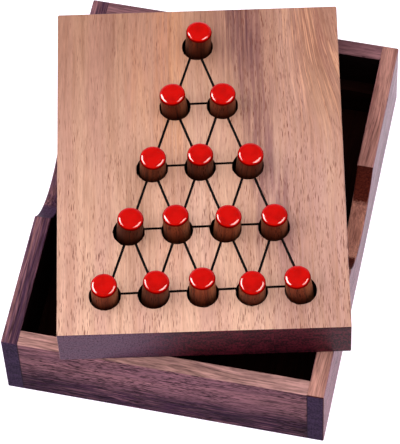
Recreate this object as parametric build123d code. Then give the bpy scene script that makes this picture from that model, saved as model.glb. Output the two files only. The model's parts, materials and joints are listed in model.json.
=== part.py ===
from build123d import *
from math import atan, atan2, cos, degrees, hypot, radians, sin
import os

# Triangle peg solitaire set: an open hardwood tray, a drilled playing board and fifteen pegs.
# The board lies askew on the tray's rim, with a peg in every hole. Turned square, it drops
# between the walls onto two cleats and closes the tray, its top level with the rim.
# Lengths are millimetres and angles are degrees. The origin is on the ground under the middle
# of the tray, +X is to the right, +Y to the back and +Z up.

# Tray
TRAY_WIDTH = 130.0
TRAY_LENGTH = 165.5
TRAY_HEIGHT = 38.0
SIDE_WALL = 6.7
END_WALL = 6.8
TRAY_ARRIS = 0.6
FLOOR_THICKNESS = 3.0
FLOOR_REBATE = 3.0
FLOOR_GAP = 0.15
CLEAT_WIDTH = 5.0
CLEAT_END_GAP = 0.3
SCOOP_CHORD = 48.0
SCOOP_DEPTH = 13.6

# Board, with the play it has all round when it drops into the tray
BOARD_THICKNESS = 20.0
BOARD_SIDE_PLAY = 1.0
BOARD_END_PLAY = 1.2
BOARD_ARRIS = 0.5

# How the board lies on the rim: its turn, and its middle's place from the tray's middle
BOARD_TURN = 13.0
BOARD_TO_RIGHT = -1.0
BOARD_TO_BACK = -0.3

# Holes of the playing triangle, and how far their grid lies off the board's middle
ROWS = 5
SIDE_MARGIN = 19.0
END_MARGIN = 17.5
HOLES_TO_RIGHT = -0.15
HOLES_TO_BACK = -0.4
HOLE_DEPTH = 11.4
HOLE_CHAMFER = 0.15

# Painted lines, whose own grid lies off the board's middle and a little turned
LINE_WIDTH = 0.95
LINE_DEPTH = 0.4
LINES_TO_RIGHT = -0.2
LINES_TO_BACK = 1.0
LINES_TURN = 0.9

# Pegs: a straight shank in the hole, then a slight taper to the rounded crown
PEG_DIAMETER = 10.65
PEG_TAPER = 0.5
PEG_PROUD = 10.0
CROWN_ROUND = 1.1
FOOT_CHAMFER = 0.5
PEG_PLAY = 0.85
SEAT_GAP = 0.2
RUNNING_GAP = 0.3

# How each loose peg leans, row by row from the apex: to the right and to the back, as a
# share of the most that its hole allows
PEG_LEANS = (
    ((0.65, 0.74),),
    ((-0.52, 0.20), (0.25, -0.13)),
    ((0.50, -0.36), (0.23, 0.31), (0.84, -0.23)),
    ((0.80, 0.29), (-0.19, 0.95), (0.97, 0.16), (0.17, 0.19)),
    ((0.06, -0.20), (0.94, 0.30), (0.03, 0.94), (0.27, -0.86), (-0.90, 0.42)),
)

# Worked out from the values above
WELL_WIDTH = TRAY_WIDTH - 2 * SIDE_WALL
WELL_LENGTH = TRAY_LENGTH - 2 * END_WALL
BOARD_WIDTH = WELL_WIDTH - 2 * BOARD_SIDE_PLAY
BOARD_LENGTH = WELL_LENGTH - 2 * BOARD_END_PLAY
CLEAT_TOP = TRAY_HEIGHT - BOARD_THICKNESS
SCOOP_RADIUS = ((SCOOP_CHORD / 2) ** 2 + SCOOP_DEPTH ** 2) / (2 * SCOOP_DEPTH)
HOLE_PITCH = (BOARD_WIDTH - 2 * SIDE_MARGIN) / (ROWS - 1)
ROW_PITCH = (BOARD_LENGTH - 2 * END_MARGIN) / (ROWS - 1)
HOLE_RADIUS = PEG_DIAMETER / 2 + PEG_PLAY
PEG_LENGTH = HOLE_DEPTH - SEAT_GAP + PEG_PROUD
BOARD_PLACE = Pos(BOARD_TO_RIGHT, BOARD_TO_BACK, TRAY_HEIGHT) * Rot(0, 0, BOARD_TURN)

ON_GROUND = (Align.CENTER, Align.CENTER, Align.MIN)


def block(width, length, bottom, top):
    """An upright block about the Z axis, between two heights."""
    return Pos(0, 0, bottom) * Box(width, length, top - bottom, align=ON_GROUND)


def scoop_cutter():
    """The round bar that cuts the finger scoops through both side walls."""
    bar = Rot(0, 90, 0) * Cylinder(SCOOP_RADIUS, TRAY_WIDTH + SIDE_WALL)
    return Pos(0, 0, TRAY_HEIGHT - SCOOP_DEPTH + SCOOP_RADIUS) * bar


def in_well(edge):
    """Whether an edge lies on the well's wall faces, and not on the tray's outside."""
    centre = edge.center()
    between_sides = abs(centre.X) < (TRAY_WIDTH - SIDE_WALL) / 2
    between_ends = abs(centre.Y) < (TRAY_LENGTH - END_WALL) / 2
    return between_sides and between_ends


def tray_ring():
    """The four walls in one ring, with scoops and eased edges, before it is parted."""
    ring = block(TRAY_WIDTH, TRAY_LENGTH, 0, TRAY_HEIGHT) - block(WELL_WIDTH, WELL_LENGTH, 0, TRAY_HEIGHT)
    ring -= scoop_cutter()
    uprights = ring.edges().filter_by(Axis.Z)
    foot = ring.edges().group_by(Axis.Z)[0]
    square = uprights.filter_by(in_well) + foot.filter_by(in_well)
    ring = fillet([edge for edge in ring.edges() if edge not in square], TRAY_ARRIS)
    rebate = block(WELL_WIDTH + 2 * FLOOR_REBATE, WELL_LENGTH + 2 * FLOOR_REBATE, 0, FLOOR_THICKNESS)
    return ring - rebate


def tray_walls():
    """Part the ring where the end walls butt between the side walls."""
    ring = tray_ring()
    side_zone = block(SIDE_WALL, TRAY_LENGTH, 0, TRAY_HEIGHT)
    end_zone = block(WELL_WIDTH, END_WALL, 0, TRAY_HEIGHT)
    side_shift = (TRAY_WIDTH - SIDE_WALL) / 2
    end_shift = (TRAY_LENGTH - END_WALL) / 2
    return {
        "left_side": ring & (Pos(-side_shift, 0, 0) * side_zone),
        "right_side": ring & (Pos(side_shift, 0, 0) * side_zone),
        "front_end": ring & (Pos(0, -end_shift, 0) * end_zone),
        "back_end": ring & (Pos(0, end_shift, 0) * end_zone),
    }


def bottom_panel():
    """The thin floor, let into the rebate under the walls."""
    reach = 2 * (FLOOR_REBATE - FLOOR_GAP)
    return block(WELL_WIDTH + reach, WELL_LENGTH + reach, 0, FLOOR_THICKNESS)


def cleat(side):
    """The strip on an end wall that holds up the board when it closes the tray."""
    strip = block(WELL_WIDTH - 2 * CLEAT_END_GAP, CLEAT_WIDTH, FLOOR_THICKNESS, CLEAT_TOP)
    return Pos(0, side * (WELL_LENGTH - CLEAT_WIDTH) / 2, 0) * strip


def grid_point(row, place):
    """A point of the triangular grid about its own middle: rows count from the apex at the back."""
    x = (place - (row + 1) / 2) * HOLE_PITCH
    y = ((ROWS + 1) / 2 - row) * ROW_PITCH
    return x, y


def hole_centre(row, place):
    """The centre of a hole in the board's plane."""
    x, y = grid_point(row, place)
    return x + HOLES_TO_RIGHT, y + HOLES_TO_BACK


def triangle():
    """Every row and place of the playing triangle."""
    return [(row, place) for row in range(1, ROWS + 1) for place in range(1, row + 1)]


def line_ends():
    """The end holes of every straight line: across the rows, then down both slopes."""
    across = [((row, 1), (row, row)) for row in range(2, ROWS + 1)]
    down_left = [((place, place), (ROWS, place)) for place in range(1, ROWS)]
    down_right = [((row, 1), (ROWS, ROWS + 1 - row)) for row in range(1, ROWS)]
    return across + down_left + down_right


def groove(first, last):
    """The cutter of one painted line, whose ends lie inside its end holes."""
    (x_a, y_a), (x_b, y_b) = grid_point(*first), grid_point(*last)
    bar = Box(hypot(x_b - x_a, y_b - y_a), LINE_WIDTH, 2 * LINE_DEPTH)
    heading = degrees(atan2(y_b - y_a, x_b - x_a))
    in_grid = Pos((x_a + x_b) / 2, (y_a + y_b) / 2, 0) * Rot(0, 0, heading)
    return Pos(LINES_TO_RIGHT, LINES_TO_BACK, 0) * Rot(0, 0, LINES_TURN) * in_grid * bar


def playing_board():
    """The board about its own axes, with its top at BOARD_THICKNESS."""
    board = fillet(block(BOARD_WIDTH, BOARD_LENGTH, 0, BOARD_THICKNESS).edges(), BOARD_ARRIS)
    for row, place in triangle():
        x, y = hole_centre(row, place)
        drill = Cylinder(HOLE_RADIUS, 2 * HOLE_DEPTH)
        board -= Pos(x, y, BOARD_THICKNESS) * drill
    mouths = board.edges().filter_by(GeomType.CIRCLE).filter_by_position(
        Axis.Z, BOARD_THICKNESS - HOLE_CHAMFER, BOARD_THICKNESS + HOLE_CHAMFER
    )
    board = chamfer(mouths, HOLE_CHAMFER)
    for first, last in line_ends():
        board -= Pos(0, 0, BOARD_THICKNESS) * groove(first, last)
    return board


def peg():
    """One peg about the Z axis, standing on its foot."""
    foot = PEG_DIAMETER / 2
    crown = foot - PEG_TAPER / 2
    shank_top = PEG_LENGTH - PEG_PROUD
    shoulder = PEG_LENGTH - CROWN_ROUND
    middle = CROWN_ROUND * cos(radians(45))
    outline = [
        Line((0, 0), (foot - FOOT_CHAMFER, 0)),
        Line((foot - FOOT_CHAMFER, 0), (foot, FOOT_CHAMFER)),
        Line((foot, FOOT_CHAMFER), (foot, shank_top)),
        Line((foot, shank_top), (crown, shoulder)),
        ThreePointArc(
            (crown, shoulder),
            (crown - CROWN_ROUND + middle, shoulder + middle),
            (crown - CROWN_ROUND, PEG_LENGTH),
        ),
        Line((crown - CROWN_ROUND, PEG_LENGTH), (0, PEG_LENGTH)),
        Line((0, PEG_LENGTH), (0, 0)),
    ]
    return revolve(Plane.XZ * make_face(outline), Axis.Z)


def peg_place(row, place):
    """A leaning peg's place in the board: it pivots about the middle of its hole's depth."""
    to_right, to_back = PEG_LEANS[row - 1][place - 1]
    most = atan((PEG_PLAY - RUNNING_GAP) / (HOLE_DEPTH / 2))
    lean = most * hypot(to_right, to_back)
    heading = degrees(atan2(to_back, to_right))
    foot_height = SEAT_GAP + PEG_DIAMETER / 2 * sin(lean)
    below_pivot = (HOLE_DEPTH / 2 - foot_height) / cos(lean)
    x, y = hole_centre(row, place)
    pivot = Pos(x, y, BOARD_THICKNESS - HOLE_DEPTH / 2)
    return pivot * Rot(0, 0, heading) * Rot(0, degrees(lean), 0) * Rot(0, 0, -heading) * Pos(0, 0, -below_pivot)


def pieces():
    """Every piece in its place, by name."""
    found = tray_walls()
    found["bottom_panel"] = bottom_panel()
    found["front_cleat"] = cleat(-1)
    found["back_cleat"] = cleat(1)
    found["board"] = BOARD_PLACE * playing_board()
    for row, place in triangle():
        found[f"peg_row{row}_{place}"] = BOARD_PLACE * peg_place(row, place) * peg()
    return found


os.makedirs("parts", exist_ok=True)
for name, shape in pieces().items():
    export_step(shape, f"parts/{name}.step")
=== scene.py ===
"""Looks of a triangle peg solitaire set: tray, playing board, painted lines and red-tipped pegs."""
import json
import logging
import math
import random
from dataclasses import dataclass, field, replace
from enum import Enum

import bmesh
import bpy
from mathutils import Matrix, Vector, noise


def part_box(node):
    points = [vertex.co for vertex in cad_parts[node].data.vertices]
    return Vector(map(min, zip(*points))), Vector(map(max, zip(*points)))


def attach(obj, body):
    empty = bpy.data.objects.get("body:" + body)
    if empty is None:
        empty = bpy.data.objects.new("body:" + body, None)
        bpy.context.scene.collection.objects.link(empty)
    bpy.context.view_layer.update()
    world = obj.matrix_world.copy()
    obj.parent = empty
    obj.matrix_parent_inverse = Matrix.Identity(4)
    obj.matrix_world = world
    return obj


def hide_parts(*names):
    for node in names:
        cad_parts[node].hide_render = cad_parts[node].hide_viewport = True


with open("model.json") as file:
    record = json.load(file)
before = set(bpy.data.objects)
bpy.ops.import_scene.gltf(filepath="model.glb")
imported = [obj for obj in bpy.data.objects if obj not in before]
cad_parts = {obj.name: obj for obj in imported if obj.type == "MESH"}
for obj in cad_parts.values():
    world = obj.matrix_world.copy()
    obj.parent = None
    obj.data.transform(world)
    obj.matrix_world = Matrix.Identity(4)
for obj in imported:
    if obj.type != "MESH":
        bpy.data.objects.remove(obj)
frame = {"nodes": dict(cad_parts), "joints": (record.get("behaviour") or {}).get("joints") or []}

LOG = logging.getLogger("peg_solitaire")
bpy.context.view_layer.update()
MM = 0.001
PER_MM = 1.0 / MM
Colour = tuple[float, float, float, float]
Span = tuple[float, float]   # where a mask is 0, and where it is 1
Socket = bpy.types.NodeSocket
PLAIN: Colour = (1.0, 1.0, 1.0, 1.0)


def srgb(red: int, green: int, blue: int) -> Colour:
    """Turn a screen colour of 0 to 255 into the linear colour that shaders use.

    Args:
        red: Red as a screen shows it.
        green: Green as a screen shows it.
        blue: Blue as a screen shows it.

    Returns:
        The linear colour, fully opaque.
    """
    linear = []
    for channel in (red, green, blue):
        share = channel / 255.0
        linear.append(share / 12.92 if share <= 0.04045 else ((share + 0.055) / 1.055) ** 2.4)
    return (linear[0], linear[1], linear[2], 1.0)


class Run(Enum):
    """One of an object's own axes, such as the one that its grain runs along."""

    ACROSS = 0
    BACK = 1
    UP = 2


class Value:
    """A shader socket that holds one number for each point, so that shader maths reads as Python."""

    def __init__(self, graph: "Graph", socket: Socket) -> None:
        """Wrap an output socket of a graph."""
        self.graph = graph
        self.socket = socket

    def _math(self, operation: str, first: "Value | float", second: "Value | float" = 0.0) -> "Value":
        """Add one Math node and give its result."""
        node = self.graph.add("ShaderNodeMath", {"operation": operation}, {0: first, 1: second})
        return Value(self.graph, node.outputs[0])

    def __add__(self, other: "Value | float") -> "Value":
        """This plus other."""
        return self._math("ADD", self, other)

    __radd__ = __add__

    def __sub__(self, other: "Value | float") -> "Value":
        """This minus other."""
        return self._math("SUBTRACT", self, other)

    def __rsub__(self, other: "Value | float") -> "Value":
        """Other minus this."""
        return self._math("SUBTRACT", other, self)

    def __mul__(self, other: "Value | float") -> "Value":
        """This times other."""
        return self._math("MULTIPLY", self, other)

    __rmul__ = __mul__

    def __truediv__(self, other: "Value | float") -> "Value":
        """This over other."""
        return self._math("DIVIDE", self, other)

    def __abs__(self) -> "Value":
        """This without its sign."""
        return self._math("ABSOLUTE", self)

    def least(self, other: "Value | float") -> "Value":
        """The smaller of this and other."""
        return self._math("MINIMUM", self, other)

    def most(self, other: "Value | float") -> "Value":
        """The larger of this and other."""
        return self._math("MAXIMUM", self, other)

    def rise(self, low: float, high: float) -> "Value":
        """Go smoothly from 0 at low to 1 at high; with low above high it falls instead.

        Args:
            low: Where the result is 0.
            high: Where the result is 1.

        Returns:
            A mask from 0 to 1.
        """
        sockets = {0: self, 1: min(low, high), 2: max(low, high)}
        sockets[3], sockets[4] = (0.0, 1.0) if low < high else (1.0, 0.0)
        node = self.graph.add("ShaderNodeMapRange", {"interpolation_type": "SMOOTHSTEP"}, sockets)
        return Value(self.graph, node.outputs[0])


class Graph:
    """A node tree, and the ways to add to it."""

    def __init__(self, tree: bpy.types.NodeTree) -> None:
        """Wrap the node tree of a material or of the world."""
        self.tree = tree

    def add(self, kind: str, settings: dict | None = None, sockets: dict | None = None) -> bpy.types.Node:
        """Add any node.

        Args:
            kind: The node's type.
            settings: What is set before the sockets, such as a Math node's operation.
            sockets: Values, colours or links, by socket name or place.

        Returns:
            The node.
        """
        node = self.tree.nodes.new(kind)
        for name, value in (settings or {}).items():
            setattr(node, name, value)
        for key, value in (sockets or {}).items():
            self.feed(node.inputs[key], value)
        return node

    def feed(self, target: Socket, value: object) -> None:
        """Link an input socket, or set it.

        Args:
            target: The input socket.
            value: A value or an output socket to link it to, or a number or a colour to set it to.
        """
        source = value.socket if isinstance(value, Value) else value
        if isinstance(source, Socket):
            self.tree.links.new(source, target)
        else:
            target.default_value = source

    def place(self) -> tuple[Value, Value, Value]:
        """Find where the point lies in its object, in millimetres.

        Returns:
            How far it lies across, to the back and up.
        """
        coordinates = self.add("ShaderNodeTexCoord")
        split = self.add("ShaderNodeSeparateXYZ", None, {0: coordinates.outputs["Object"]})
        return tuple(Value(self, output) * PER_MM for output in split.outputs)

    def facing(self, way: Run) -> Value:
        """How squarely the surface looks along one axis of its object, forward or back: 0 to 1.

        Args:
            way: The axis.

        Returns:
            The share.
        """
        coordinates = self.add("ShaderNodeTexCoord")
        split = self.add("ShaderNodeSeparateXYZ", None, {0: coordinates.outputs["Normal"]})
        return abs(Value(self, split.outputs[way.value]))

    def looks(self, way: Run) -> Value:
        """1 on the faces that look along one axis, and 0 on those that don't."""
        return self.facing(way).rise(0.5, 0.85)

    def vector(self, x: Value | float, y: Value | float, z: Value | float) -> Socket:
        """Join three numbers to a vector."""
        return self.add("ShaderNodeCombineXYZ", None, {0: x, 1: y, 2: z}).outputs[0]

    def cloud(self, where: Socket, detail: float = 2.0, roughness: float = 0.5) -> Value:
        """Smooth noise of about 0.3 to 0.7, with detail finer layers of a strength of roughness."""
        sockets = {"Vector": where, "Scale": 1.0, "Detail": detail, "Roughness": roughness}
        return Value(self, self.add("ShaderNodeTexNoise", None, sockets).outputs[0])

    def mottle(
        self, size: float, detail: float = 2.0, roughness: float = 0.5, shift: Value | float = 0.0
    ) -> Value:
        """Smooth noise whose features have the same size, in millimetres, every way."""
        x, y, z = self.place()
        return self.cloud(self.vector(x / size + shift, y / size, z / size), detail, roughness)

    def flecks(self, where: Socket, share: float, size: float) -> Value:
        """Separate soft spots, one in some of the cells of a grid.

        Args:
            where: The vector at which they are read, one cell to the unit.
            share: The share of cells that hold a spot.
            size: A spot's radius as a share of its cell.

        Returns:
            A mask that is 1 in the middle of each spot.
        """
        cells = self.add("ShaderNodeTexVoronoi", None, {"Vector": where, "Scale": 1.0, "Randomness": 1.0})
        split = self.add("ShaderNodeSeparateColor", None, {0: cells.outputs["Color"]})
        chance = Value(self, split.outputs[0]).rise(1.0 - share, 1.02 - share)
        return Value(self, cells.outputs["Distance"]).rise(size, size * 0.35) * chance

    def blend(
        self, share: Value | float, first: object, second: object, way: str = "MIX"
    ) -> Socket:
        """Mix a share of the second colour into the first; either is a colour or its socket."""
        settings = {"data_type": "RGBA", "blend_type": way, "clamp_factor": True}
        return self.add("ShaderNodeMix", settings, {0: share, 6: first, 7: second}).outputs[2]

    def shade(self, colour: object, share: Value) -> Socket:
        """Multiply each channel of a colour by a share."""
        sockets = {0: colour, "Scale": share}
        return self.add("ShaderNodeVectorMath", {"operation": "SCALE"}, sockets).outputs[0]

    def chance(self) -> Value:
        """A number of 0 to 1 that differs from piece to piece."""
        return Value(self, self.add("ShaderNodeObjectInfo").outputs["Random"])

    def bump(self, height: Value, depth: float) -> Socket:
        """Turn a height of 0 to 1, where 1 is depth millimetres high, into a surface direction."""
        sockets = {"Height": height, "Distance": depth * MM, "Strength": 1.0}
        return self.add("ShaderNodeBump", None, sockets).outputs[0]


class Surface(Graph):
    """The node tree of one new material."""

    def __init__(self, name: str) -> None:
        """Make a material that holds only a Principled shader and its output.

        Args:
            name: The material's name.
        """
        self.material = bpy.data.materials.new(name)
        self.material.use_nodes = True
        super().__init__(self.material.node_tree)
        self.shader = next(node for node in self.tree.nodes if node.type == "BSDF_PRINCIPLED")

    def dress(self, sockets: dict[str, object]) -> bpy.types.Material:
        """Set the Principled shader's sockets by name, and give the finished material."""
        for name, value in sockets.items():
            self.feed(self.shader.inputs[name], value)
        return self.material


@dataclass(frozen=True)
class Grain:
    """A point's place in its plank, in millimetres: along the grain, across it and through it."""

    graph: Surface
    seed: float
    along: Value
    across: Value
    through: Value

    def soft(self, width: float, length: float, detail: float = 2.0) -> Value:
        """Noise of about 0.3 to 0.7, with features of a width across the grain and a length along it."""
        # The width is added too, so that noises of different widths don't share a pattern.
        where = (self.across / width, self.through / width + (self.seed + width), self.along / length)
        return self.graph.cloud(self.graph.vector(*where), detail, 0.55)


@dataclass(frozen=True)
class WoodFinish:
    """The wood of one kind of piece. Widths and lengths are millimetres."""

    name: str
    tone: Colour
    light: Colour
    dark: Colour
    pore: Colour
    end: Colour
    end_dark: Colour
    run: Run
    figure_span: Span = (0.36, 0.64)
    streak_span: Span = (0.45, 0.72)
    crowd_span: Span = (0.36, 0.6)
    end_span: Span = (0.42, 0.5)
    speckle_span: Span = (0.46, 0.68)
    wander: float = 1.5
    figure_width: float = 10.0
    figure_length: float = 90.0
    streak_width: float = 2.4
    streak_length: float = 50.0
    streak_amount: float = 0.5
    fibre_width: float = 0.45
    fibre_length: float = 9.0
    fibre_depth: float = 0.5
    fleck_width: float = 0.62
    fleck_thickness: float = 0.62
    fleck_length: float = 4.2
    fleck_share: float = 0.2
    fleck_strength: float = 0.75
    roughness: float = 0.5
    relief: float = 0.05
    specular: float = 0.12
    wax_roughness: float = 0.3
    varies: float = 0.0
    scatter: float = 400.0
    sway_length: float = 70.0
    sway_width: float = 24.0
    seed: float = 0.0

    def grain(self, graph: Surface) -> Grain:
        """Find the point in the plank, whose grain sways a little.

        Args:
            graph: The material.

        Returns:
            The point.
        """
        x, y, z = graph.place()
        along, across, through = {Run.ACROSS: (x, y, z), Run.BACK: (y, x, z), Run.UP: (z, x, y)}[self.run]
        if self.varies:
            across = across + graph.chance() * self.scatter
        where = graph.vector(along / self.sway_length, across / self.sway_width, self.seed + 3.0)
        sway = graph.cloud(where, 1.0) - 0.5
        return Grain(graph, self.seed, along, across + sway * (2.0 * self.wander), through)

    def crowd(self, grain: Grain) -> Value:
        """How strongly the pores show, which differs from place to place."""
        return grain.soft(6.0, 30.0).rise(*self.crowd_span) * 0.8 + 0.35

    def pores(self, grain: Grain) -> Value:
        """The dark flecks of cut vessels: large ones, and fainter ones of half their size.

        Args:
            grain: The point in the plank.

        Returns:
            A mask that is 1 in the darkest flecks.
        """
        graph = grain.graph
        pores = 0.0
        for shrink, share, strength in ((1.0, 1.4, 1.0), (0.55, 2.0, 0.75)):
            where = graph.vector(
                grain.across / (self.fleck_width * shrink),
                grain.through / (self.fleck_thickness * shrink) + (self.seed + shrink),
                grain.along / (self.fleck_length * shrink),
            )
            pores = graph.flecks(where, self.fleck_share * share, 0.42) * strength + pores
        return (pores * self.crowd(grain) * 1.5).least(1.0)

    def ground(self, grain: Grain) -> Socket:
        """The colour without flecks and end grain.

        Args:
            grain: The point in the plank.

        Returns:
            The colour's socket.
        """
        graph = grain.graph
        figure = grain.soft(self.figure_width, self.figure_length)
        streak = grain.soft(self.streak_width, self.streak_length, 3.0)
        colour = graph.blend(figure.rise(*self.figure_span), self.tone, self.light)
        return graph.blend(streak.rise(*self.streak_span) * self.streak_amount, colour, self.dark)

    def end_grain(self, graph: Surface) -> Value:
        """1 on the faces that cut across the grain, with a torn edge."""
        torn = graph.mottle(0.7, 1.0) - 0.5
        return (graph.facing(self.run) + torn * 0.08).rise(*self.end_span)

    def end_colour(self, grain: Grain) -> Socket:
        """The speckled colour of the end grain.

        Args:
            grain: The point in the plank.

        Returns:
            The colour's socket.
        """
        graph = grain.graph
        speckle = graph.cloud(graph.vector(grain.across / 0.9, grain.through / 1.5, self.seed), 3.0, 0.7)
        cloudy = graph.cloud(graph.vector(grain.across / 8.0, grain.through / 3.0, self.seed + 1.0), 2.0)
        darker = (speckle * 0.8 + cloudy * 0.35).rise(*self.speckle_span)
        return graph.blend(darker, self.end, self.end_dark)

    def last_touches(self, graph: Surface, colour: Socket) -> Socket:
        """What a kind of piece adds over its wood: nothing here."""
        return colour

    def well_shade_mask(self, graph: Surface) -> Value | float:
        """Where a piece is painted dull black as shade: nowhere here."""
        return 0.0

    def waxed(self, grain: Grain) -> Value | float:
        """Where a piece has a sheen of wax, which shows at a glancing view: nowhere here."""
        return 0.0

    def material(self) -> bpy.types.Material:
        """Build the finish.

        Returns:
            The finished material.
        """
        graph = Surface(self.name)
        grain = self.grain(graph)
        fibre = grain.soft(self.fibre_width, self.fibre_length)
        pore = self.pores(grain)
        colour = graph.shade(self.ground(grain), (fibre - 0.5) * (2.0 * self.fibre_depth) + 1.0)
        colour = graph.blend(pore * self.fleck_strength, colour, self.pore)
        colour = graph.blend(self.end_grain(graph), colour, self.end_colour(grain))
        if self.varies:
            colour = graph.shade(colour, (graph.chance() - 0.5) * self.varies + 1.0)
        colour = self.last_touches(graph, colour)
        return graph.dress({
            "Base Color": colour,
            "Roughness": (fibre - 0.5) * 0.25 + pore * 0.2 + self.well_shade_mask(graph) * 0.4 + self.roughness,
            "Specular IOR Level": self.specular,
            "Coat Weight": self.waxed(grain),
            "Coat Roughness": self.wax_roughness,
            "Normal": graph.bump(fibre * 0.4 - pore * 0.6 + 0.6, self.relief),
        })


@dataclass(frozen=True)
class Band:
    """A band along a board, whose tint multiplies the wood. Places and widths are millimetres."""

    tint: Colour
    right: float
    half: float
    front: float
    back: float = 95.0
    fade: float = 14.0
    drift: float = 0.0
    strength: float = 1.0
    wisp: float = 2.0

    def lay(self, grain: Grain, colour: Socket) -> Socket:
        """Tint the wood where the band runs.

        Args:
            grain: The point in the board.
            colour: The wood without the band.

        Returns:
            The wood with the band.
        """
        ragged = grain.soft(self.wisp, 40.0, 3.0) - 0.5
        aside = abs(grain.across + grain.along * self.drift - self.right)
        off_centre = aside + ragged * (2.2 * self.half)
        mask = off_centre.rise(self.half * 1.5, self.half * 0.4) * self.strength
        mask = mask * grain.along.rise(self.front - self.fade, self.front + self.fade)
        mask = mask * grain.along.rise(self.back + self.fade, self.back - self.fade)
        wisps = grain.soft(self.wisp * 0.5, 30.0, 3.0).rise(0.36, 0.6) * 0.75 + 0.3
        return grain.graph.blend(mask * wisps, colour, self.tint, "MULTIPLY")


@dataclass(frozen=True)
class BoardWood(WoodFinish):
    """The playing board's wood: browner to the back and right, with dark heartwood right of the apex."""

    browner: Colour = (0.6, 0.515, 0.47, 1.0)
    bands: tuple[Band, ...] = ()
    heart: float = 27.0
    heart_pores: Span = (20.0, 6.0)
    front_pores: Span = (40.0, -60.0)
    back_brown: Span = (-98.0, 96.0)
    right_brown: Span = (18.0, 36.0)
    right_edge: Span = (40.0, 56.0)
    far_brown: Span = (10.0, 76.0)
    swing: float = 0.16
    swing_across: Span = (26.0, 52.0)
    swing_along: Span = (0.0, 60.0)
    curl_across: Span = (26.0, 44.0)
    curl_along: Span = (-10.0, 50.0)
    lit_end_across: Span = (-2.0, -34.0)
    curl: Colour = srgb(230, 172, 138)
    curl_strength: float = 0.34
    lit_end: Colour = srgb(97, 70, 90)
    lit_end_dark: Colour = srgb(46, 24, 42)

    def grain(self, graph: Surface) -> Grain:
        """Find the point in the plank, whose grain swings aside toward the back right corner.

        Args:
            graph: The material.

        Returns:
            The point.
        """
        plain = super().grain(graph)
        corner = plain.across.rise(*self.swing_across) * plain.along.rise(*self.swing_along)
        return replace(plain, across=plain.across + corner * plain.along * self.swing)

    def crowd(self, grain: Grain) -> Value:
        """How strongly the pores show: more toward the front and along the heartwood.

        Args:
            grain: The point in the plank.

        Returns:
            The strength.
        """
        toward_front = grain.along.rise(*self.front_pores)
        heart = abs(grain.across - self.heart).rise(*self.heart_pores)
        return super().crowd(grain) * (toward_front.most(heart) * 0.7 + 0.45)

    def brown_share(self, grain: Grain) -> Value:
        """How brown the wood is: more to the back, partly the wood's tone and partly painted shade where
        light falls off, and along the right side.

        Args:
            grain: The point in the plank.

        Returns:
            The share of brown.
        """
        # Partly painted shade: the board browns toward the back, where light falls off.
        toward_back = grain.along.rise(*self.back_brown)
        edge = grain.across.rise(*self.right_edge)
        right_side = grain.across.rise(*self.right_brown) * 0.62 - edge * 0.3
        far_corner = edge * (grain.along.rise(*self.far_brown) * 0.6 + 0.12)
        return toward_back.most(right_side) + far_corner

    def ground(self, grain: Grain) -> Socket:
        """Add the brown, the bands and the curly corner to the plain wood.

        Args:
            grain: The point in the plank.

        Returns:
            The colour's socket.
        """
        graph = grain.graph
        plain = super().ground(grain)
        colour = graph.blend(self.brown_share(grain), plain, self.browner, "MULTIPLY")
        for band in self.bands:
            colour = band.lay(grain, colour)
        corner = grain.across.rise(*self.curl_across) * grain.along.rise(*self.curl_along)
        stripes = grain.soft(0.9, 28.0).rise(0.5, 0.64)
        return graph.blend(corner * stripes * self.curl_strength, colour, self.curl)

    def end_colour(self, grain: Grain) -> Socket:
        """Let the end grain turn purple-grey to the left, as painted light and painted reflection.

        Args:
            grain: The point in the plank.

        Returns:
            The colour's socket.
        """
        graph = grain.graph
        colour = super().end_colour(grain)
        pitted = graph.cloud(graph.vector(grain.across / 0.7, grain.through / 0.9, self.seed), 3.0, 0.7)
        purple = graph.blend(pitted.rise(0.42, 0.68), self.lit_end, self.lit_end_dark)
        # Painted light and reflection: the left of the end grain turns lighter and purple-grey.
        return graph.blend(grain.across.rise(*self.lit_end_across) * 0.8, colour, purple)


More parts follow.
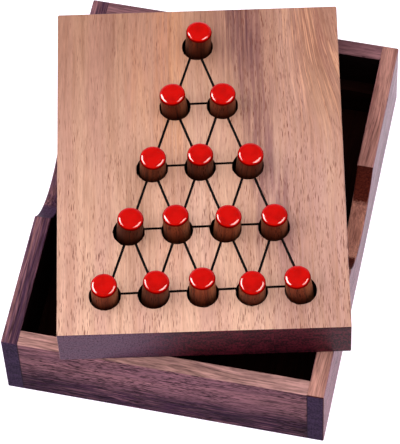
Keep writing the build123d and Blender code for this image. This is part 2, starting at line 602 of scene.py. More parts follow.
@dataclass(frozen=True)
class TrayWood(WoodFinish):
    """The tray's wood, painted dull black inside the well as painted shade. Places are millimetres."""

    well_half_width: float = 58.3
    well_half_length: float = 75.95
    rim: float = 38.0
    band_axis: Run = Run.UP
    band_from: float = 0.0
    band_to: float = 0.0
    band_wave: float = 0.0
    band_strength: float = 0.0
    band_worn: float = 0.0
    band_tint: Colour = (0.25, 0.25, 0.3, 1.0)
    # Painted light: a tint that makes the upper faces lighter and tan.
    top_lit_tint: Colour = PLAIN
    top_calm: float = 0.0
    top_pores: float = 0.2
    # Painted reflection and shade: a purple tint on the faces that look sideways.
    side_sheen_tint: Colour = PLAIN
    side_wax: float = 0.0
    side_wax_along: Span = (-100.0, 60.0)
    end_shade: float = 0.0
    end_shade_along: Span = (5.0, 60.0)
    soaked_facing: Span = (0.96, 0.9)
    soaked: Colour = srgb(72, 28, 20)
    soaked_dark: Colour = srgb(44, 12, 10)
    scoop_tint: Colour = PLAIN
    joint: Colour = srgb(30, 16, 24)
    # Painted shade: the near-black of the well's faces, and how much of it covers them.
    well: Colour = srgb(7, 2, 2)
    well_shade_share: float = 0.98

    def ground(self, grain: Grain) -> Socket:
        """Add one broad dark band, painted shade toward the ends, a painted side reflection and painted
        light on the upper faces, to the plain wood.

        Args:
            grain: The point in the plank.

        Returns:
            The colour's socket.
        """
        graph = grain.graph
        colour = super().ground(grain)
        if self.band_strength:
            place = graph.place()[self.band_axis.value]
            wave = graph.cloud(graph.vector(grain.along / 26.0, self.seed, 0.0), 2.0) - 0.5
            ragged = grain.soft(1.6, 22.0) - 0.5
            edge = place + wave * (2.0 * self.band_wave) + ragged * (1.4 * self.band_wave)
            worn = grain.soft(0.9, 16.0, 3.0).rise(0.44, 0.68) * self.band_worn
            mask = edge.rise(self.band_from, self.band_to) * (1.0 - worn) * self.band_strength
            colour = graph.blend(mask, colour, self.band_tint, "MULTIPLY")
        top = graph.looks(Run.UP)
        # Painted shade: the faces other than the top darken toward the ends of the plank.
        if self.end_shade:
            far = abs(grain.along).rise(*self.end_shade_along)
            colour = graph.shade(colour, 1.0 - far * (1.0 - top) * self.end_shade)
        # Painted reflection and shade: the faces that look sideways are tinted purple, like a lavender
        # glancing reflection and the purple cast of shaded faces.
        colour = graph.blend(graph.looks(Run.ACROSS), colour, self.side_sheen_tint, "MULTIPLY")
        colour = graph.blend(top * self.top_calm, colour, self.tone)
        # Painted light: the upper faces are tinted lighter and tan, while the other faces keep the darker
        # purple of faces in shade.
        return graph.blend(top, colour, self.top_lit_tint, "MULTIPLY")

    def end_colour(self, grain: Grain) -> Socket:
        """Give the slanting end grain of the scoops its oil-soaked brown.

        Args:
            grain: The point in the plank.

        Returns:
            The colour's socket.
        """
        graph = grain.graph
        mottled = graph.mottle(0.8, 3.0, 0.7)
        soaked = graph.blend(mottled.rise(0.35, 0.65), self.soaked, self.soaked_dark)
        slanting = graph.facing(self.run).rise(*self.soaked_facing)
        return graph.blend(slanting, super().end_colour(grain), soaked)

    def crowd(self, grain: Grain) -> Value:
        """Let fewer pores show on the upper faces."""
        return super().crowd(grain) * (grain.graph.looks(Run.UP) * (self.top_pores - 1.0) + 1.0)

    def well_shade_mask(self, graph: Surface) -> Value:
        """Where the wood lies inside the well, whose shade is painted.

        Args:
            graph: The material.

        Returns:
            A mask that is 1 inside the well.
        """
        x, y, z = graph.place()
        inside = abs(x).rise(self.well_half_width + 0.3, self.well_half_width + 0.1)
        inside = inside * abs(y).rise(self.well_half_length + 0.3, self.well_half_length + 0.1)
        return inside * z.rise(self.rim - 0.4, self.rim - 1.0) * z.rise(0.5, 1.0)

    def waxed(self, grain: Grain) -> Value | float:
        """Wax the outer faces of the side walls, thinner to the front and along some lines of the grain.

        Args:
            grain: The point in the plank.

        Returns:
            How much wax there is.
        """
        if not self.side_wax:
            return 0.0
        lines = grain.soft(1.4, 26.0, 3.0).rise(0.36, 0.64) * 0.6 + 0.7
        toward_back = grain.along.rise(*self.side_wax_along) * 0.6 + 0.55
        return grain.graph.looks(Run.ACROSS) * lines * toward_back * self.side_wax

    def last_touches(self, graph: Surface, colour: Socket) -> Socket:
        """Warm the scoops, draw the joints beside the ends of the side walls, and paint the well's shade
        near black.

        Args:
            graph: The material.
            colour: The colour without them.

        Returns:
            The colour's socket.
        """
        x, y, z = graph.place()
        scooped = graph.facing(Run.UP).rise(0.5, 0.8) * z.rise(self.rim - 0.8, self.rim - 2.0)
        colour = graph.blend(scooped, colour, self.scoop_tint, "MULTIPLY")
        past_well = abs(y).rise(self.well_half_length - 0.45, self.well_half_length + 0.05)
        joint = abs(abs(x) - self.well_half_width).rise(0.35, 0.1) * past_well
        colour = graph.blend(joint * (graph.facing(Run.BACK) * 0.6 + 0.2), colour, self.joint)
        # Painted shade: the faces inside the well are painted near black.
        return graph.blend(self.well_shade_mask(graph) * self.well_shade_share, colour, self.well)


@dataclass(frozen=True)
class PegWood(WoodFinish):
    """The pegs' dark wood, with painted shade darker down toward the hole. Heights are millimetres above
    the foot.
    """

    # Painted light: the paler brown of the flanks that face the side lamps.
    lit_flank: Colour = srgb(142, 82, 50)
    dark_from: float = 19.0
    dark_to: float = 9.0
    darkest: float = 0.25

    def ground(self, grain: Grain) -> Socket:
        """Show the two flanks of the peg paler, as painted light from the side lamps.

        Args:
            grain: The point in the peg.

        Returns:
            The colour's socket.
        """
        graph = grain.graph
        flanked = graph.facing(Run.ACROSS).rise(0.5, 1.0) * (graph.chance() * 0.5 + 0.3)
        return graph.blend(flanked, super().ground(grain), self.lit_flank)

    def last_touches(self, graph: Surface, colour: Socket) -> Socket:
        """Paint shade on the wood, darker toward the foot."""
        # Painted shade: the wood darkens from dark_from down to dark_to, down to darkest.
        unshaded = graph.place()[2].rise(self.dark_to, self.dark_from)
        return graph.shade(colour, unshaded * (1.0 - self.darkest) + self.darkest)


@dataclass(frozen=True)
class LacquerFinish:
    """Thick glossy lacquer that a peg's end was dipped in, duller down its side, where its darker red is
    painted shade.
    """

    name: str = "red_lacquer"
    body: Colour = srgb(176, 9, 4)
    thin: Colour = srgb(158, 7, 3)
    # Painted shade: the darker red of the cap's sides.
    side: Colour = srgb(102, 3, 1)
    coat_roughness: float = 0.04
    coat_ior: float = 1.8
    ripple: float = 0.07

    def material(self) -> bpy.types.Material:
        """Build the finish.

        Returns:
            The finished material.
        """
        graph = Surface(self.name)
        shift = graph.chance() * 30.0
        patches = graph.mottle(4.0, shift=shift)
        ripple = graph.mottle(2.6, 1.0, shift=shift)
        upward = graph.facing(Run.UP)
        colour = graph.blend(patches.rise(0.4, 0.75), self.body, self.thin)
        return graph.dress({
            # Painted shade: faces that turn away from up take the darker side red.
            "Base Color": graph.blend(upward.rise(0.8, 0.4), colour, self.side),
            "Roughness": patches * 0.1 + 0.15,
            "Coat Weight": upward.rise(0.76, 0.92),
            "Coat Roughness": self.coat_roughness,
            "Coat IOR": self.coat_ior,
            "Specular IOR Level": 0.0,
            "Normal": graph.bump(ripple, self.ripple),
        })


@dataclass(frozen=True)
class DarkFinish:
    """Black line paint, or the painted shade on the wall of a drilled hole."""

    name: str
    body: Colour
    worn: Colour
    roughness: float
    specular: float = 0.05
    relief: float = 0.06

    def material(self) -> bpy.types.Material:
        """Build the finish.

        Returns:
            The finished material.
        """
        graph = Surface(self.name)
        patches = graph.mottle(1.5, 3.0)
        return graph.dress({
            "Base Color": graph.blend(patches.rise(0.5, 0.75), self.body, self.worn),
            "Roughness": patches * 0.3 + (self.roughness - 0.15),
            "Specular IOR Level": self.specular,
            "Normal": graph.bump(patches, self.relief),
        })


def steps(sides: int) -> list[float]:
    """The angles of evenly spaced points round a circle."""
    return [index * math.tau / sides for index in range(sides)]


def around(angle: float, radius: float, height: float) -> Vector:
    """A point at an angle on a level circle about the upward axis."""
    return Vector((radius * math.cos(angle), radius * math.sin(angle), height))


def placed(name: str, data: bpy.types.ID, pose: Matrix | None = None) -> bpy.types.Object:
    """Put a new object into the scene.

    Args:
        name: The object's name.
        data: Its mesh, light or camera.
        pose: Where its own axes lie, or None for the frame's axes.

    Returns:
        The object.
    """
    thing = bpy.data.objects.new(name, data)
    bpy.context.scene.collection.objects.link(thing)
    if pose:
        thing.matrix_world = pose
    return thing


def shaped(name: str, mesh: bpy.types.Mesh, body: str, pose: Matrix) -> bpy.types.Object:
    """Put a piece's mesh into the scene at its pose, and let it ride on a body."""
    piece = placed(name, mesh, pose)
    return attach(piece, body)


def smooth_except(mesh: bpy.types.Mesh, degrees: float) -> None:
    """Shade a mesh smooth, but keep its edges sharp where it turns by more than some degrees."""
    mesh.shade_smooth()
    mesh.set_sharp_from_angle(angle=math.radians(degrees))


def finished(name: str, shape: bmesh.types.BMesh) -> bpy.types.Mesh:
    """Turn an edited shape into a mesh, and let go of the shape.

    Args:
        name: The mesh's name.
        shape: The shape. It is used up.

    Returns:
        The mesh.
    """
    mesh = bpy.data.meshes.new(name)
    shape.to_mesh(mesh)
    shape.free()
    return mesh


def turned_mesh(name: str, rings: list[list[Vector]]) -> bpy.types.Mesh:
    """Join closed rings of equal length into a skin, and close its two ends.

    Args:
        name: The mesh's name.
        rings: The rings, from one end to the other.

    Returns:
        The closed mesh.
    """
    shape = bmesh.new()
    made = [[shape.verts.new(point) for point in ring] for ring in rings]
    for lower, upper in zip(made, made[1:]):
        for index, corner in enumerate(lower):
            after = (index + 1) % len(lower)
            shape.faces.new((corner, lower[after], upper[after], upper[index]))
    shape.faces.new(list(reversed(made[0])))
    shape.faces.new(made[-1])
    bmesh.ops.recalc_face_normals(shape, faces=shape.faces)
    return finished(name, shape)


def cut_away(target: bpy.types.Object, cutter_mesh: bpy.types.Mesh) -> None:
    """Cut closed shapes out of a piece; the new walls keep the cutter's material.

    Args:
        target: The piece that is cut, in its own axes.
        cutter_mesh: The shapes, as one mesh in the same axes. It is used up.
    """
    cutter = placed("cutter", cutter_mesh, target.matrix_world.copy())
    boolean = target.modifiers.new("cut", "BOOLEAN")
    boolean.operation = "DIFFERENCE"
    boolean.solver = "EXACT"
    boolean.material_mode = "TRANSFER"
    boolean.object = cutter
    bpy.context.view_layer.update()
    evaluated = target.evaluated_get(bpy.context.evaluated_depsgraph_get())
    result = bpy.data.meshes.new_from_object(evaluated)
    target.modifiers.clear()
    target.data = result
    bpy.data.objects.remove(cutter)


@dataclass
class Triangle:
    """A triangular grid of points on a plane, a little off and turned. Lengths are metres."""

    rows: int
    pitch: float
    row_pitch: float
    middle: Vector
    turn: float = 0.0

    def point(self, row: int, place: int) -> Vector:
        """One point of the grid.

        Args:
            row: Its row, counted from 1 at the apex, which is at the back.
            place: Its place in the row, counted from 1 at the left.

        Returns:
            The point.
        """
        across = (place - (row + 1) / 2) * self.pitch
        along = ((self.rows + 1) / 2 - row) * self.row_pitch
        return self.middle + Matrix.Rotation(self.turn, 3, "Z") @ Vector((across, along, 0.0))

    def points(self) -> list[tuple[int, int]]:
        """Every row and place."""
        return [(row, place) for row in range(1, self.rows + 1) for place in range(1, row + 1)]

    def lines(self) -> list[list[tuple[tuple[int, int], tuple[int, int]]]]:
        """Find the straight lines through the points.

        Returns:
            Three sets of parallel lines, each line as the row and place of its two ends.
        """
        across = [((row, 1), (row, row)) for row in range(2, self.rows + 1)]
        down_left = [((place, place), (self.rows, place)) for place in range(1, self.rows)]
        down_right = [((row, 1), (self.rows, self.rows + 1 - row)) for row in range(1, self.rows)]
        return [across, down_left, down_right]


@dataclass
class PlayingBoard:
    """The thick plank with its drilled holes and painted grooves. Lengths are metres."""

    wood: WoodFinish
    hole_shade: DarkFinish
    paint: DarkFinish
    turn: float = math.radians(13.0)
    rows: int = 5
    side_margin: float = 19.0 * MM
    end_margin: float = 17.5 * MM
    holes_middle: Vector = Vector((-0.15, -0.4, 0.0)) * MM
    lines_middle: Vector = Vector((-0.2, 1.0, 0.0)) * MM
    lines_turn: float = math.radians(0.9)
    arris: float = 0.5 * MM
    hole_radius: float = 6.175 * MM
    hole_depth: float = 11.4 * MM
    mouth_flare: float = 0.12 * MM
    mouth_waver: float = 0.12 * MM
    mouth_nicks: int = 5
    nick_widths: tuple[float, float] = (0.05, 0.14)   # least and most, in radians round the mouth
    nick_depths: tuple[float, float] = (0.06 * MM, 0.2 * MM)   # least and most
    hole_sides: int = 96
    line_width: float = 1.05 * MM
    line_depth: float = 0.4 * MM
    line_step: float = 2.0 * MM
    line_sides: int = 12
    line_waver: float = 0.05 * MM
    sharp_degrees: float = 28.0
    pose: Matrix = field(init=False)
    half_width: float = field(init=False)
    half_length: float = field(init=False)
    thickness: float = field(init=False)
    holes: Triangle = field(init=False)
    grooves: Triangle = field(init=False)

    def __post_init__(self) -> None:
        """Measure the board in the frame."""
        low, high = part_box("board")
        middle = (low + high) / 2
        self.pose = Matrix.Translation((middle.x, middle.y, low.z)) @ Matrix.Rotation(self.turn, 4, "Z")
        inverse = self.pose.inverted()
        corners = [inverse @ vertex.co for vertex in frame["nodes"]["board"].data.vertices]
        self.half_width = max(corner.x for corner in corners)
        self.half_length = max(corner.y for corner in corners)
        self.thickness = max(corner.z for corner in corners)
        pitch = 2 * (self.half_width - self.side_margin) / (self.rows - 1)
        row_pitch = 2 * (self.half_length - self.end_margin) / (self.rows - 1)
        self.holes = Triangle(self.rows, pitch, row_pitch, self.holes_middle)
        self.grooves = Triangle(self.rows, pitch, row_pitch, self.lines_middle, self.lines_turn)

    def plank(self) -> bpy.types.Mesh:
        """Make the plank before it is drilled, with eased edges.

        Returns:
            The closed mesh.
        """
        shape = bmesh.new()
        bmesh.ops.create_cube(shape, size=2.0)
        for vertex in shape.verts:
            vertex.co = Vector((
                vertex.co.x * self.half_width,
                vertex.co.y * self.half_length,
                (vertex.co.z + 1.0) / 2 * self.thickness,
            ))
        bmesh.ops.bevel(
            shape, geom=shape.edges[:], offset=self.arris, segments=3, profile=0.5, affect="EDGES"
        )
        return finished("board", shape)

    def drill(self, row: int, place: int) -> list[list[Vector]]:
        """Make the rings of one hole's cutter, whose mouth is flared and slightly torn.

        Args:
            row: The hole's row.
            place: Its place in the row.

        Returns:
            The rings, from the hole's floor to just above the board.
        """
        dice = random.Random(100 * row + place)
        nicks = [
            (dice.uniform(0, math.tau), dice.uniform(*self.nick_widths), dice.uniform(*self.nick_depths))
            for _ in range(self.mouth_nicks)
        ]
        centre = self.holes.point(row, place) + Vector((0, 0, self.thickness))
        flare = self.mouth_flare
        # Each level is a height, how far the mouth is flared there, and how torn it is.
        levels = [(-self.hole_depth, 0.0, 0.0), (-3 * flare, 0.0, 0.1), (-flare, 0.1, 0.6)]
        levels += [(0.0, 1.0, 1.0), (flare, 1.4, 1.0)]
        rings = []
        for height, opened, torn in levels:
            ring = []
            for angle in steps(self.hole_sides):
                waver = self.mouth_waver * abs(noise.noise(around(angle, 2.5, 7.0 * row + place)))
                tear = sum(
                    depth * math.exp(-(math.remainder(angle - at, math.tau) / width) ** 2)
                    for at, width, depth in nicks
                )
                radius = self.hole_radius + flare * opened + torn * (waver + tear)
                ring.append(centre + around(angle, radius, height))
            rings.append(ring)
        return rings

    def groove(self, first: Vector, last: Vector) -> list[list[Vector]]:
        """Make the rings of a round-bottomed bar along one line, with slightly uneven sides.

        Args:
            first: One end, on the board's top plane.
            last: The other end.

        Returns:
            The rings, from end to end.
        """
        run = last - first
        ahead = run.normalized()
        side = Vector((-ahead.y, ahead.x, 0.0))
        count = max(2, round(run.length / self.line_step))
        rings = []
        for index in range(count + 1):
            point = first + run * (index / count) + Vector((0, 0, self.thickness))
            ring = []
            for corner, angle in enumerate(steps(self.line_sides)):
                where = point * PER_MM / 1.5 + Vector((0, 0, corner // (self.line_sides // 2)))
                half = self.line_width / 2 + self.line_waver * noise.noise(where)
                drop = self.line_depth * math.sin(angle)
                ring.append(point + side * (half * math.cos(angle)) + Vector((0, 0, drop)))
            rings.append(ring)
        return rings

    def joined(
        self, name: str, shapes: list[list[list[Vector]]], finish: bpy.types.Material
    ) -> bpy.types.Mesh:
        """Join several turned shapes into one mesh with one finish.

        Args:
            name: The mesh's name.
            shapes: Each shape's rings.
            finish: The material of all of them.

        Returns:
            The mesh.
        """
        whole = bmesh.new()
        for rings in shapes:
            part = turned_mesh(name, rings)
            whole.from_mesh(part)
            bpy.data.meshes.remove(part)
        mesh = finished(name, whole)
        mesh.materials.append(finish)
        return mesh

    def build(self) -> bpy.types.Object:
        """Build the board and stand it in for its CAD node.

        Returns:
            The board.
        """
        mesh = self.plank()
        mesh.materials.append(self.wood.material())
        board = placed("playing_board", mesh)
        drills = [self.drill(row, place) for row, place in self.holes.points()]
        cut_away(board, self.joined("drills", drills, self.hole_shade.material()))
        line_paint = self.paint.material()
        for parallel in self.grooves.lines():
            ends = [(self.grooves.point(*first), self.grooves.point(*last)) for first, last in parallel]
            bars = [self.groove(first, last) for first, last in ends]
            cut_away(board, self.joined("bars", bars, line_paint))
        smooth_except(board.data, self.sharp_degrees)
        weighted = board.modifiers.new("even_shading", "WEIGHTED_NORMAL")
        weighted.keep_sharp = True
        board.matrix_world = self.pose
        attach(board, "board")
        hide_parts("board")
        LOG.info("playing board: %d faces", len(board.data.polygons))
        return board


@dataclass
class TurnedPeg:
    """One turned peg with its dipped red end. Lengths are metres, and angles are degrees."""

    row: int
    place: int
    taper: float = 0.25 * MM
    proud: float = 10.0 * MM
    rim_round: float = 1.1 * MM
    foot_ease: float = 0.5 * MM
    dip_depth: float = 1.55 * MM
    coat: float = 0.12 * MM
    lip_width: float = 1.65 * MM
    lip_height: float = 1.2 * MM
    lip_steps: int = 12
    sides: int = 96
    uneven: float = 0.05 * MM
    dip_waver: float = 0.3 * MM
    dish: float = 0.03 * MM
    shank_sharp: float = 35.0
    cap_sharp: float = 50.0
    name: str = field(init=False)
    seed: float = field(init=False)
    pose: Matrix = field(init=False)
    length: float = field(init=False)
    radius: float = field(init=False)

    def __post_init__(self) -> None:
        """Measure the peg in the frame, about the axis that it is pulled along."""
        self.name = f"peg_row{self.row}_{self.place}"
        self.seed = 10.0 * self.row + self.place
        joint = next(joint for joint in frame["joints"] if joint["child"] == self.name)
        upward = Vector(joint["axis"]).normalized()
        sideways = Vector((0, 1, 0)).cross(upward).normalized()
        backward = upward.cross(sideways)
        turned = Matrix((sideways, backward, upward))
        points = [turned @ vertex.co for vertex in frame["nodes"][self.name].data.vertices]
        low = Vector([min(point[axis] for point in points) for axis in range(3)])
        high = Vector([max(point[axis] for point in points) for axis in range(3)])
        middle = (low + high) / 2
        foot = turned.transposed() @ Vector((middle.x, middle.y, low.z))
        self.pose = Matrix.Translation(foot) @ turned.transposed().to_4x4()
        self.length = high.z - low.z
        self.radius = (high.x - low.x) / 2

    def ring(self, radius: float, height: float, uneven: float = 0.0, edge: float = 0.0) -> list[Vector]:
        """Make one ring of the peg.

        Args:
            radius: Its radius.
            height: Its height above the foot.
            uneven: The most that the turning dips below the radius.
            edge: The most that the ring wanders up and down.

        Returns:
            The ring's points.
        """
        points = []
        for angle in steps(self.sides):
            about = around(angle, 1.3, self.seed)
            dip = uneven * (0.5 + 0.5 * noise.noise(about + Vector((0, 0, height * PER_MM / 6.0))))
            rise = edge * noise.noise(about * 1.4 + Vector((5.0, 0, 0)))
            points.append(around(angle, radius - dip, height + rise))
        return points

    def side_radius(self, height: float) -> float:
        """Find the peg's radius on its straight sides.

        Args:
            height: The height above the foot.

        Returns:
            The radius there.
        """
        taper_foot = self.length - self.proud
        share = max(0.0, (height - taper_foot) / (self.proud - self.rim_round))
        return self.radius - self.taper * min(1.0, share)

    def shank(self) -> bpy.types.Mesh:
        """Make the wooden peg, drawn in a little where the lacquer covers it.

        Returns:
            The closed mesh.
        """
        dip = self.length - self.dip_depth
        taper_foot = self.length - self.proud
        heights = [self.foot_ease, taper_foot * 0.36, taper_foot * 0.72, taper_foot]
        heights += [taper_foot + self.proud * 0.25, taper_foot + self.proud * 0.5, dip - self.dip_waver]
        rings = [
            self.ring(self.radius - self.foot_ease, 0.0),
            self.ring(self.radius - self.foot_ease * 0.3, self.foot_ease * 0.3),
        ]
        rings += [self.ring(self.side_radius(height), height, self.uneven) for height in heights]
        covered = self.side_radius(dip) - self.coat
        rings.append(self.ring(covered, dip + self.dip_waver))
        rings.append(self.ring(covered, self.length - self.rim_round))
        rings.append(self.ring(covered - self.rim_round * 0.8, self.length - self.coat * 2))
        return turned_mesh(self.name, rings)

    def cap(self) -> bpy.types.Mesh:
        """Make the lacquer over the peg's end, with a full lip and an uneven dip line.

        Returns:
            The closed mesh.
        """
        dip = self.length - self.dip_depth
        wood = self.side_radius(dip)
        crown = self.radius - self.taper + self.coat
        rings = [
            self.ring(wood - self.coat, dip, 0.0, self.dip_waver),
            self.ring(wood + self.coat * 0.5, dip - self.coat * 0.25, 0.0, self.dip_waver),
            self.ring(wood + self.coat, dip + self.coat, 0.0, self.dip_waver),
        ]
        for step in range(self.lip_steps + 1):
            angle = step * math.pi / 2 / self.lip_steps
            radius = crown - self.lip_width * (1 - math.cos(angle))
            height = self.length - self.lip_height * (1 - math.sin(angle))
            rings.append(self.ring(radius, height, self.uneven, self.dish * math.sin(angle)))
        for share in (0.75, 0.5, 0.25, 0.08):
            radius = (crown - self.lip_width) * share
            rings.append(self.ring(radius, self.length - self.dish * (1 - share), 0.0, self.dish * share))
        return turned_mesh(self.name + "_cap", rings)

    def build(self, wood: bpy.types.Material, lacquer: bpy.types.Material) -> None:
        """Build the peg and its cap, and stand them in for the CAD node.

        Args:
            wood: The peg's wood.
            lacquer: The cap's lacquer.
        """
        shank_mesh = self.shank()
        shank_mesh.materials.append(wood)
        smooth_except(shank_mesh, self.shank_sharp)
        shank = shaped(self.name + "_shank", shank_mesh, self.name, self.pose)
        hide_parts(self.name)
        cap_mesh = self.cap()
        cap_mesh.materials.append(lacquer)
        smooth_except(cap_mesh, self.cap_sharp)
        cap = shaped(self.name + "_cap", cap_mesh, self.name, self.pose)


@dataclass
class Tray:
    """The open tray: its CAD walls, cleats and floor, each with its own plank of wood."""

    finishes: dict[str, WoodFinish]

    def build(self) -> None:
        """Dress every piece of the tray."""
        for node, finish in self.finishes.items():
            piece = frame["nodes"][node]
            piece.data.materials.clear()
            piece.data.materials.append(finish.material())
            LOG.info("tray piece %s: %s", node, finish.name)


class Purpose(Enum):
    """What a light is for: to light the wood, or to gleam in the lacquer."""

    FILL = "fill"
    GLEAM = "gleam"


@dataclass(frozen=True)
class SoftBox:
    """One soft rectangular light that looks at the set. Lengths are metres, and the power is watts."""

    name: str
    toward: Vector
    size: tuple[float, float]
    power: float
    purpose: Purpose
    distance: float = 0.9
    height: float = 0.05
    tint: Colour = srgb(255, 249, 243)

    def build(self) -> None:
        """Hang the light."""
        data = bpy.data.lights.new(self.name, "AREA")
        data.shape = "RECTANGLE"
        data.size, data.size_y = self.size
        data.energy = self.power
        data.color = self.tint[:3]
        away = self.toward.normalized()
        turned = (-away).to_track_quat("-Z", "Y").to_matrix().to_4x4()
        where = Matrix.Translation(away * self.distance + Vector((0, 0, self.height)))
        light = placed(self.name, data, where @ turned)
        light.visible_diffuse = self.purpose is not Purpose.GLEAM
        light.visible_glossy = self.purpose is not Purpose.FILL


@dataclass(frozen=True)
class GlowFinish:
    """A plain white that glows, so that no shadow shows on it."""

    name: str
    body: Colour
    light: Colour
    strength: float
    roughness: float = 0.9

    def material(self) -> bpy.types.Material:
        """Build the finish.

        Returns:
            The finished material.
        """
        return Surface(self.name).dress({
            "Base Color": self.body,
            "Roughness": self.roughness,
            "Specular IOR Level": 0.0,
            "Emission Color": self.light,
            "Emission Strength": self.strength,
        })


@dataclass
class Studio:
    """Glowing table, soft lights and the camera at the photograph's viewing angle. Lengths are metres."""

    azimuth: float = math.radians(14.891)
    elevation: float = math.radians(60.052)
    roll: float = math.radians(-3.427)
    distance: float = 1.3342
    target: Vector = Vector((-0.0033, 0.0026, 0.0078))
    focal_length: float = 261.7   # millimetres, as lenses are named
    far_limit: float = 20.0
    floor_half: float = 3.0
    wall_radius: float = 2.9
    wall_foot: float = -0.01
    wall_height: float = 1.0
    wall_sides: int = 64
    table: GlowFinish = GlowFinish("glowing_table", srgb(168, 168, 172), srgb(250, 240, 255), 1.05)
    wall: GlowFinish = GlowFinish("white_wall", srgb(240, 240, 242), srgb(255, 255, 255), 1.1)
    sky: Colour = srgb(226, 228, 255)
    lights: tuple[SoftBox, ...] = (
        SoftBox("overhead", Vector((-0.05, -0.10, 1.0)), (1.6, 1.6), 24.0, Purpose.FILL),
        SoftBox("left_light", Vector((-0.60, 0.05, 0.70)), (0.9, 0.9), 2.6, Purpose.FILL),
        SoftBox("left_gleam", Vector((-0.68, -0.02, 0.62)), (0.85, 0.52), 19.0, Purpose.GLEAM),
        SoftBox("right_gleam", Vector((0.53, 0.04, 0.80)), (0.7, 0.46), 7.4, Purpose.GLEAM),
    )

    def camera(self) -> None:
        """Make the camera and use it."""
        flat = math.cos(self.elevation)
        back = Vector((
            math.sin(self.azimuth) * flat, -math.cos(self.azimuth) * flat, math.sin(self.elevation)
        ))
        right = (-back).cross(Vector((0, 0, 1))).normalized()
        level = Matrix((right, back.cross(right), back)).transposed()
        data = bpy.data.cameras.new("camera")
        data.lens = self.focal_length
        data.clip_end = self.far_limit
        turned = (level @ Matrix.Rotation(self.roll, 3, "Z")).to_4x4()
        where = Matrix.Translation(self.target + back * self.distance)
        bpy.context.scene.camera = placed("camera", data, where @ turned)

    def floor(self) -> None:
        """Lay the white table."""
        half = self.floor_half
        corners = [(-half, -half, 0), (half, -half, 0), (half, half, 0), (-half, half, 0)]
        mesh = bpy.data.meshes.new("floor")
        mesh.from_pydata(corners, [], [(0, 1, 2, 3)])
        mesh.materials.append(self.table.material())
        floor = placed("floor", mesh)

    def backdrop(self) -> None:
        """Stand a white wall far round the table, which hides the horizon and doesn't light the set."""
        points = [
            around(angle, self.wall_radius, height)
            for height in (self.wall_foot, self.wall_height)
            for angle in steps(self.wall_sides)
        ]
        faces = []
        for index in range(self.wall_sides):
            after = (index + 1) % self.wall_sides
            faces.append((index, after, after + self.wall_sides, index + self.wall_sides))
        mesh = bpy.data.meshes.new("backdrop")
        mesh.from_pydata(points, [], faces)
        mesh.materials.append(self.wall.material())
        wall = placed("backdrop", mesh)
        wall.visible_diffuse = False
        wall.visible_glossy = False
        wall.visible_shadow = False

    def surroundings(self) -> None:
        """Make the room: pale near the horizon and dark overhead."""
        world = bpy.data.worlds.new("studio")
        world.use_nodes = True
        graph = Graph(world.node_tree)
        ground = world.node_tree.nodes["Background"]
        direction = graph.add("ShaderNodeTexCoord").outputs["Generated"]
        height = Value(graph, graph.add("ShaderNodeSeparateXYZ", None, {0: direction}).outputs[2])
        graph.feed(ground.inputs["Color"], self.sky)
        graph.feed(ground.inputs["Strength"], height.rise(0.6, 0.05) * 0.75 + 0.03)
        bpy.context.scene.world = world

    def build(self) -> None:
        """Set up floor, backdrop, lights and camera."""
        self.floor()
        self.backdrop()
        for light in self.lights:
            light.build()
        self.surroundings()
        self.camera()
        bpy.context.scene.view_settings.view_transform = "Standard"


def board_finish() -> BoardWood:
    """Choose the playing board's wood, with its own bands.

    Returns:
        The finish.
    """
    heart = (0.55, 0.46, 0.57, 1.0)
    brown = (0.72, 0.66, 0.62, 1.0)
    golden = (1.2, 1.09, 0.9, 1.0)
    russet = (0.76, 0.62, 0.62, 1.0)
    rosy = (1.02, 1.05, 1.15, 1.0)
    pale = (1.2, 1.3, 1.3, 1.0)
    return BoardWood(
        "board_wood", srgb(184, 143, 129), srgb(194, 155, 136), srgb(156, 112, 91), srgb(96, 46, 36),
        srgb(81, 22, 34), srgb(24, 5, 10), Run.BACK, figure_width=9.0, streak_amount=0.45,
        streak_width=2.2, streak_length=60.0, fibre_depth=0.38, fibre_length=8.0,
        fleck_width=0.36, fleck_length=5.4, fleck_share=0.19, fleck_strength=0.95,
        bands=(
            Band(heart, right=26.5, half=7.0, front=-44.0, drift=0.1, strength=0.88, wisp=2.6),
            Band(heart, right=16.0, half=8.0, front=45.0, strength=0.85, wisp=1.4),
            Band(brown, right=-34.0, half=6.0, front=50.0, strength=0.55, wisp=2.4),
            Band(brown, right=4.0, half=4.5, front=44.0, strength=0.7),
            Band(brown, right=-54.0, half=8.0, front=28.0, strength=0.35),
            Band(golden, right=-12.0, half=6.5, front=2.0, back=86.0, strength=0.9),
            Band(golden, right=-24.0, half=5.0, front=20.0, back=62.0, strength=0.5, wisp=1.6),
            # Painted light: the pale band lightens the middle of the board, running back between the pegs
            # to lift their shade.
            Band(pale, right=1.0, half=8.0, front=-46.0, back=42.0),
            Band(russet, right=55.0, half=8.0, front=46.0, strength=0.9),
            Band(rosy, right=40.0, half=17.0, front=-95.0, back=14.0, wisp=3.0),
            Band(rosy, right=38.0, half=7.0, front=20.0, wisp=3.0),
            Band(brown, right=-26.0, half=6.0, front=-54.0, back=6.0, strength=0.85),
            Band(golden, right=-12.0, half=6.0, front=-44.0, back=-8.0, strength=0.3),
            Band(brown, right=21.0, half=12.0, front=-54.0, back=-22.0, strength=0.7, wisp=1.2),
        ),
    )


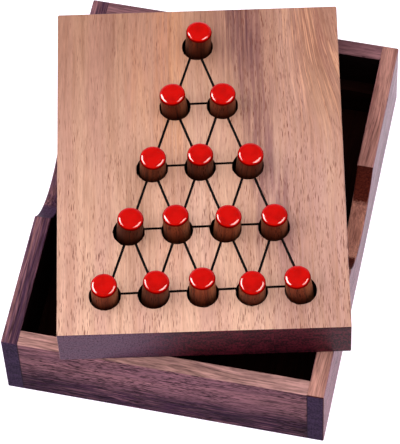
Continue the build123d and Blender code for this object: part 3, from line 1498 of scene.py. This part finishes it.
def tray_finishes() -> dict[str, TrayWood]:
    """Choose the tray's woods: each wall is a plank of its own.

    Returns:
        The finishes, by node.
    """
    plank = dict(
        wander=3.0, figure_width=7.0, figure_length=60.0, streak_width=1.6, streak_length=32.0,
        streak_amount=0.7, fleck_width=0.7, fleck_thickness=0.8, fleck_length=5.5, fleck_share=0.42,
        fleck_strength=1.0, fibre_depth=0.9, specular=0.02,
    )
    dashed = dict(
        streak_width=0.9, streak_length=10.0, streak_amount=0.95, fibre_width=0.8, fibre_length=12.0,
        fibre_depth=1.15, fleck_width=0.5, fleck_length=5.0, fleck_share=0.5,
    )
    fine = dict(
        figure_width=0.8, figure_length=24.0, streak_width=0.8, streak_length=14.0, streak_amount=0.9,
        fibre_width=0.6, fibre_depth=1.2,
    )
    end, end_dark = srgb(54, 37, 63), srgb(34, 22, 41)
    found = {
        "front_end": TrayWood(
            "walnut_front", srgb(121, 81, 91), srgb(141, 96, 103), srgb(68, 39, 50), srgb(24, 8, 16),
            end, end_dark, Run.ACROSS, seed=11.0,
            band_from=20.0, band_to=11.0, band_wave=6.0, band_strength=1.0, band_worn=0.6,
            # Painted light: the top tint makes the front wall's upper faces lighter and tan.
            band_tint=(0.145, 0.085, 0.245, 1.0), top_lit_tint=(1.58, 1.98, 1.48, 1.0), top_calm=0.6,
            # Painted shade toward the ends of the front wall.
            end_shade=0.26, **(plank | dashed)),
        "back_end": TrayWood(
            "walnut_back", srgb(98, 66, 74), srgb(120, 84, 90), srgb(64, 39, 47), srgb(32, 15, 23),
            end, end_dark, Run.ACROSS, seed=23.0, **plank),
        "left_side": TrayWood(
            "walnut_left", srgb(84, 57, 74), srgb(125, 86, 91), srgb(44, 25, 38), srgb(28, 13, 22),
            end, end_dark, Run.BACK, seed=31.0, band_axis=Run.ACROSS, band_from=-62.8, band_to=-61.0,
            band_wave=1.4, band_strength=0.75, band_tint=(0.25, 0.21, 0.38, 1.0), soaked=srgb(70, 50, 74),
            soaked_dark=srgb(52, 34, 54), side_wax=0.6, **(plank | fine)),
        "right_side": TrayWood(
            "walnut_right", srgb(148, 105, 98), srgb(164, 120, 110), srgb(104, 66, 62), srgb(54, 25, 30),
            # Painted shade: the band darkens the back of the right wall, where the board's soft shadow
            # falls.
            end, end_dark, Run.BACK, seed=47.0, band_axis=Run.BACK, band_from=-35.0, band_to=10.0,
            band_wave=5.0, band_strength=0.29, band_tint=(0.29, 0.2, 0.27, 1.0),
            # Painted reflection and shade: the side tint turns the right wall's side faces purple.
            side_sheen_tint=(0.72, 0.57, 0.87, 1.0), side_wax=0.44, scoop_tint=(1.27, 1.15, 1.0, 1.0), **plank),
    }
    inner = {"front_cleat": Run.ACROSS, "back_cleat": Run.ACROSS, "bottom_panel": Run.BACK}
    for node, run in inner.items():
        found[node] = TrayWood(
            "walnut_" + node, srgb(96, 44, 38), srgb(116, 56, 46), srgb(62, 26, 22), srgb(36, 14, 12),
            srgb(58, 36, 36), srgb(40, 24, 24), run, seed=float(len(node)), well_shade_share=0.95, **plank)
    return found


def main() -> None:
    """Build the studio and every piece, and log each piece."""
    logging.basicConfig(level=logging.INFO)
    Studio().build()
    Tray(tray_finishes()).build()
    board = PlayingBoard(
        board_finish(),
        # Painted shade: the hole walls are painted near black to deepen their shade.
        DarkFinish("shaded_hole", srgb(10, 5, 5), srgb(26, 12, 8), 0.8),
        DarkFinish("line_paint", srgb(8, 3, 3), srgb(18, 8, 7), 0.7),
    )
    board.build()
    peg_wood = PegWood(
        "peg_wood", srgb(90, 33, 14), srgb(114, 50, 26), srgb(48, 14, 5), srgb(26, 6, 2),
        srgb(60, 26, 16), srgb(42, 16, 10), Run.UP, streak_width=0.9, streak_length=16.0,
        streak_amount=0.85, fibre_depth=0.8, varies=0.7, wander=0.6, specular=0.1,
    ).material()
    lacquer = LacquerFinish().material()
    for row, place in board.holes.points():
        peg = TurnedPeg(row, place)
        peg.build(peg_wood, lacquer)
        LOG.info("peg: %s", peg.name)


if __name__ == "__main__":
    main()
